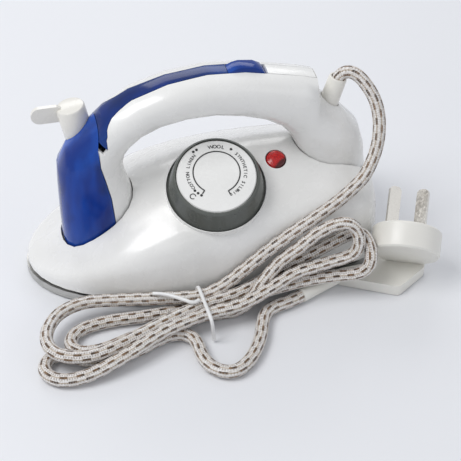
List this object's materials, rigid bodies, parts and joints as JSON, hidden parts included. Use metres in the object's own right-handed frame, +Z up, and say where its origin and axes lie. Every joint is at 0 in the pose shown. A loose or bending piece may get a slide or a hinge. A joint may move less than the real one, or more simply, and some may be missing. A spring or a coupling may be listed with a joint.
{
  "type": "travel steam iron",
  "caption": "Compact steam iron with a blue water tank in the front of its arched handle, a tilted temperature dial, a steam lever and a hanked braided mains lead.",
  "frame": {"origin": "under the middle of the iron (cord left out), on the surface that the soleplate rests on", "axes": "+X towards the heel, the nose at -X, the dial on the -Y side, +Z up"},
  "size_m": [0.204, 0.1417, 0.1059],
  "materials": {
    "white_shell": "glossy",
    "spring_steel": "bright wire",
    "clamp": "matte",
    "braid": "woven braid with brown dashes",
    "cream_plastic": "satin",
    "tie": "plain",
    "dial_grey": "satin",
    "screw_steel": "zinc plated",
    "blue_tank": "translucent look, glossy",
    "sheet_steel": "mill",
    "element": "dull",
    "red_lens": "faceted, glossy",
    "ceramic": "matte",
    "blade": "plated",
    "plug_plastic": "satin",
    "rubber": "matte",
    "sole_cast": "polished below",
    "brass": "bright"
  },
  "bodies": {
    "base": {"body_shell": "white_shell", "cord_hank": "braid", "cord_lead": "braid", "cord_loop_lower": "braid", "cord_loop_slack": "braid", "cord_loop_upper": "braid", "cord_tail": "braid", "cord_tie": "tie", "cord_tie_end": "tie", "heat_shield": "sheet_steel", "heater_terminal_far": "screw_steel", "heater_terminal_near": "screw_steel", "heating_element": "element", "hinge_pin": "screw_steel", "lamp_lens": "red_lens", "neon_lamp": "ceramic", "plug_blade_left": "blade", "plug_blade_right": "blade", "plug_body": "plug_plastic", "plug_relief": "plug_plastic", "shield_screw_far": "screw_steel", "shield_screw_near": "screw_steel", "skirt_gasket": "rubber", "soleplate": "sole_cast", "steam_chamber_lid": "sheet_steel", "tank_seal": "rubber", "terminal_block": "ceramic", "thermal_fuse": "ceramic", "thermostat_base": "ceramic", "thermostat_bimetal": "brass"},
    "dial": {"dial_ring": "dial_grey", "dial_face": "white_shell", "thermostat_shaft": "brass", "dial_clip": "spring_steel"},
    "handle": {"handle_shell_near": "white_shell", "handle_shell_far": "white_shell", "handle_strip": "blue_tank", "handle_top_cap": "white_shell", "water_tank": "blue_tank", "valve_seat": "brass", "button_spring": "spring_steel", "cord_clamp": "clamp", "handle_screw_front": "screw_steel", "handle_screw_rear": "screw_steel"},
    "steam_lever": {"steam_lever": "cream_plastic"},
    "valve_needle": {"valve_needle": "screw_steel"},
    "button": {"release_button": "blue_tank"},
    "sleeve": {"cord_sleeve": "cream_plastic"}
  },
  "joints": [
    {"name": "dial_turn", "type": "hinge", "parent": "base", "child": "dial", "pos_m": [0.0065, -0.0184, 0.0485], "axis": [-0.0696, -0.4216, 0.9041], "range_deg": [-240, 30]},
    {"name": "handle_fold", "type": "hinge", "parent": "base", "child": "handle", "pos_m": [0.066, 0, 0.045], "axis": [0, 1, 0], "range_deg": [0, 60], "deforming": ["cord_lead"]},
    {"name": "steam_lever_turn", "type": "hinge", "parent": "handle", "child": "steam_lever", "pos_m": [-0.053, 0.01, 0.066], "axis": [-0.1908, 0, 0.9816], "range_deg": [-90, 0]},
    {"name": "valve_needle_slide", "type": "slide", "parent": "handle", "child": "valve_needle", "axis": [-0.1908, 0, 0.9816], "range_m": [0, 0.003]},
    {"name": "button_press", "type": "slide", "parent": "handle", "child": "button", "axis": [0, 0, -1], "range_m": [0, 0.002], "stiffness_N_per_m": 300, "deforming": ["button_spring"]},
    {"name": "sleeve_swivel", "type": "hinge", "parent": "handle", "child": "sleeve", "pos_m": [0.0644, 0, 0.0708], "axis": [0.2924, 0, 0.9563], "range_deg": [-90, 90]}
  ],
  "couplings": [
    {"joint": "valve_needle_slide", "follows": "steam_lever_turn", "m_per_rad": -0.0019}
  ]
}
